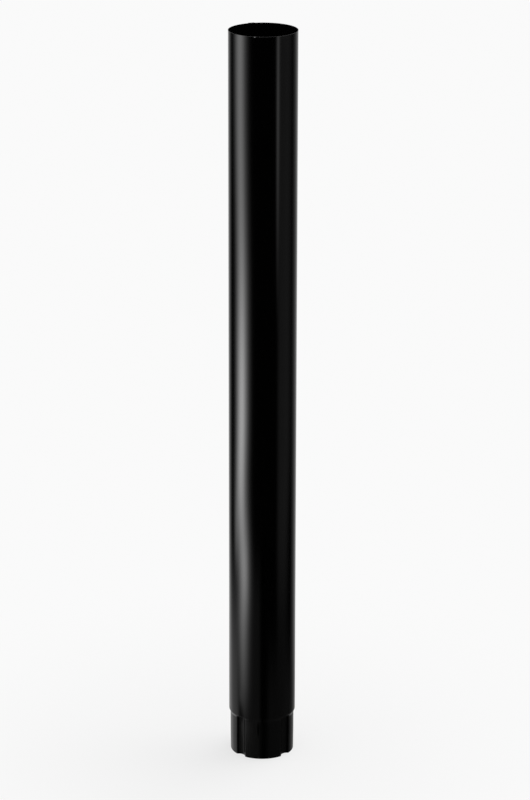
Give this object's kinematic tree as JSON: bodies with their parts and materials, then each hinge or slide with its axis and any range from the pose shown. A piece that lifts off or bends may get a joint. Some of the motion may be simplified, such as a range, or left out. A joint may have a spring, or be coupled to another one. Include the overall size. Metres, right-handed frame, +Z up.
{
  "type": "downpipe",
  "caption": "Round colour-coated steel rainwater downpipe with an open mouth and a swaged, fluted spigot that slides into the mouth of the next pipe.",
  "frame": {"origin": "centre of the spigot's end edge, on the pipe's axis, where the pipe stands", "axes": "+Z up the pipe's axis to the open mouth, -Y the side that faces the camera in the picture, +X to the right seen from that side"},
  "size_m": [0.09, 0.0903, 1],
  "materials": {
    "black_coating": "semi-gloss black coil coating on thin steel sheet, bare at the cut edges"
  },
  "bodies": {
    "root": {"downpipe": "black_coating"}
  },
  "joints": []
}
